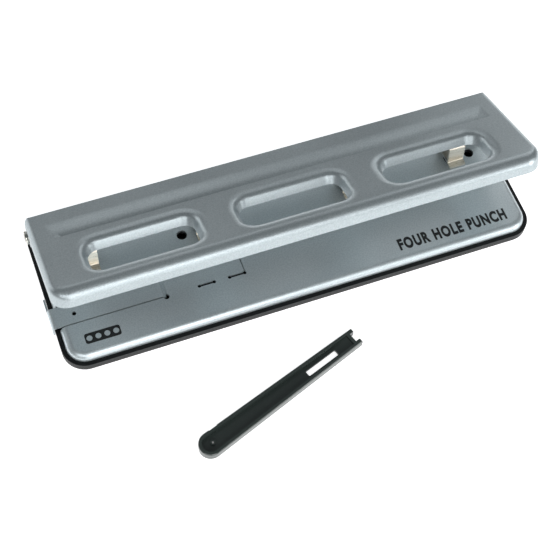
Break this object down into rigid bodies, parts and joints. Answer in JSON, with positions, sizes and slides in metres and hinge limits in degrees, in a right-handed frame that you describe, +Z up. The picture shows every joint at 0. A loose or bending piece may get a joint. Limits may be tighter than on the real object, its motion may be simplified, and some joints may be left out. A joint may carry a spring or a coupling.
{
  "type": "four-hole paper punch",
  "caption": "Desktop paper punch with a long sprung press lid, spring-return punches over dies, a pull-out side guide, a chip door underneath and a loose forked hand tool.",
  "frame": {"origin": "centre of the base's outline, at table height (the underside of the rubber feet)", "axes": "+X to the right along the row of punches, +Y from the open front to the hinge, +Z up"},
  "size_m": [0.3228, 0.1815, 0.0694],
  "materials": {
    "lid_shell": "satin metallic grey on pressed steel",
    "deck_sheet": "satin metallic silver on pressed steel",
    "tray_abs": "fine-textured black moulding",
    "zinc_plate": "bright zinc plate on steel sheet",
    "nickel_strap": "bright nickel plate on folded steel",
    "ground_steel": "ground tool steel",
    "spring_wire": "drawn spring wire",
    "hinge_plate": "bright plated rivet",
    "foot_rubber": "moulded rubber",
    "tool_abs": "glossy black moulding"
  },
  "bodies": {
    "base": {"base_tray": "tray_abs", "deck_cover": "deck_sheet", "punch_frame": "zinc_plate", "rubber_feet": "foot_rubber", "base_screws": "zinc_plate", "deck_nuts": "zinc_plate", "bracket_rivets": "zinc_plate", "hinge_rivet_left": "hinge_plate", "hinge_rivet_right": "hinge_plate", "station_strap_1": "nickel_strap", "guide_bush_1": "ground_steel", "stripper_plate_1": "zinc_plate", "punch_die_1": "ground_steel", "pin_spring_1": "spring_wire", "station_strap_2": "nickel_strap", "guide_bush_2": "ground_steel", "stripper_plate_2": "zinc_plate", "punch_die_2": "ground_steel", "pin_spring_2": "spring_wire", "station_strap_3": "nickel_strap", "guide_bush_3": "ground_steel", "stripper_plate_3": "zinc_plate", "punch_die_3": "ground_steel", "pin_spring_3": "spring_wire", "station_strap_4": "nickel_strap", "guide_bush_4": "ground_steel", "stripper_plate_4": "zinc_plate", "punch_die_4": "ground_steel", "pin_spring_4": "spring_wire"},
    "lid": {"press_lid": "lid_shell"},
    "side_guide": {"side_guide": "deck_sheet"},
    "chip_door": {"chip_door": "tray_abs"},
    "hand_tool": {"hand_tool": "tool_abs"},
    "punch_1": {"punch_pin_1": "ground_steel", "pin_clip_1": "spring_wire"},
    "punch_2": {"punch_pin_2": "ground_steel", "pin_clip_2": "spring_wire"},
    "punch_3": {"punch_pin_3": "ground_steel", "pin_clip_3": "spring_wire"},
    "punch_4": {"punch_pin_4": "ground_steel", "pin_clip_4": "spring_wire"}
  },
  "joints": [
    {"name": "lid_press", "type": "hinge", "parent": "base", "child": "lid", "pos_m": [0, 0.0333, 0.0328], "axis": [1, 0, 0], "range_deg": [0, 26.1], "stiffness_Nm_per_rad": 1.2, "springref_deg": -17.19},
    {"name": "punch_1_drop", "type": "slide", "parent": "base", "child": "punch_1", "axis": [0, 0, -1], "range_m": [0, 0.0083], "deforming": ["pin_spring_1"]},
    {"name": "punch_2_drop", "type": "slide", "parent": "base", "child": "punch_2", "axis": [0, 0, -1], "range_m": [0, 0.0083], "deforming": ["pin_spring_2"]},
    {"name": "punch_3_drop", "type": "slide", "parent": "base", "child": "punch_3", "axis": [0, 0, -1], "range_m": [0, 0.0083], "deforming": ["pin_spring_3"]},
    {"name": "punch_4_drop", "type": "slide", "parent": "base", "child": "punch_4", "axis": [0, 0, -1], "range_m": [0, 0.0083], "deforming": ["pin_spring_4"]},
    {"name": "guide_pull", "type": "slide", "parent": "base", "child": "side_guide", "axis": [-1, 0, 0], "range_m": [0, 0.03]},
    {"name": "chip_door_hinge", "type": "hinge", "parent": "base", "child": "chip_door", "pos_m": [0, 0.0272, 0.0024], "axis": [1, 0, 0], "range_deg": [0, 100]},
    {"name": "hand_tool_lift", "type": "slide", "parent": "base", "child": "hand_tool", "axis": [0, 0, 1], "range_m": [0, 0.1]}
  ],
  "couplings": [
    {"joint": "punch_1_drop", "follows": "lid_press", "m_per_rad": 0.017686},
    {"joint": "punch_2_drop", "follows": "lid_press", "m_per_rad": 0.017686},
    {"joint": "punch_3_drop", "follows": "lid_press", "m_per_rad": 0.017686},
    {"joint": "punch_4_drop", "follows": "lid_press", "m_per_rad": 0.017686}
  ]
}
